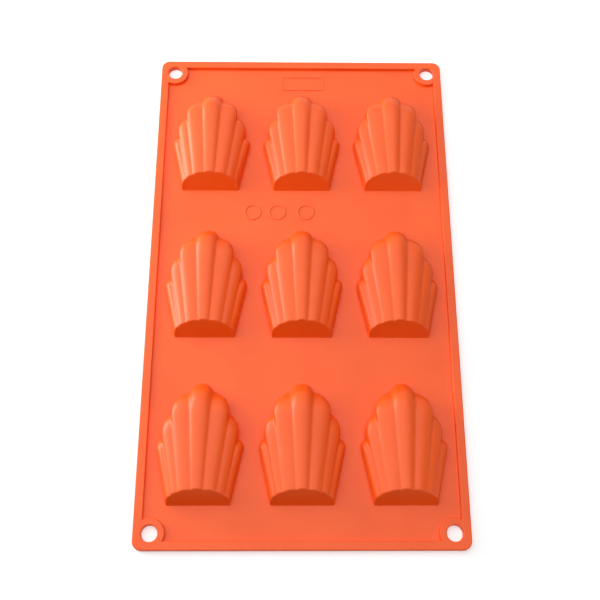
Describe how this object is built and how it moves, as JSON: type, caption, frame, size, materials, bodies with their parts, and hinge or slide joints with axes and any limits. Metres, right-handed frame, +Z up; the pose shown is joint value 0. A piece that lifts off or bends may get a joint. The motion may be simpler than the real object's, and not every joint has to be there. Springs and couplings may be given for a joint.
{
  "type": "madeleine mould",
  "caption": "Flat flexible baking mould with shell-shaped fluted cups, a raised rim and a round hanging eyelet in each corner.",
  "frame": {"origin": "centre of the footprint, on the table under the mould's mouth side", "axes": "+Z up, out of the tops of the standing shells; +Y along the mould towards the shells' tips; +X across the mould"},
  "size_m": [0.175, 0.3, 0.0152],
  "materials": {
    "silicone": "soft satin orange-red silicone rubber"
  },
  "bodies": {
    "root": {"cup_front_left": "silicone", "cup_front_centre": "silicone", "cup_front_right": "silicone", "cup_middle_left": "silicone", "cup_middle_centre": "silicone", "cup_middle_right": "silicone", "cup_back_left": "silicone", "cup_back_centre": "silicone", "cup_back_right": "silicone", "web_front": "silicone", "web_middle": "silicone", "web_back": "silicone", "rim_front": "silicone", "rim_back": "silicone", "rim_left": "silicone", "rim_right": "silicone", "corner_front_left": "silicone", "corner_front_right": "silicone", "corner_back_left": "silicone", "corner_back_right": "silicone", "relief_ring_left": "silicone", "relief_ring_centre": "silicone", "relief_ring_right": "silicone", "relief_frame": "silicone"}
  },
  "joints": []
}
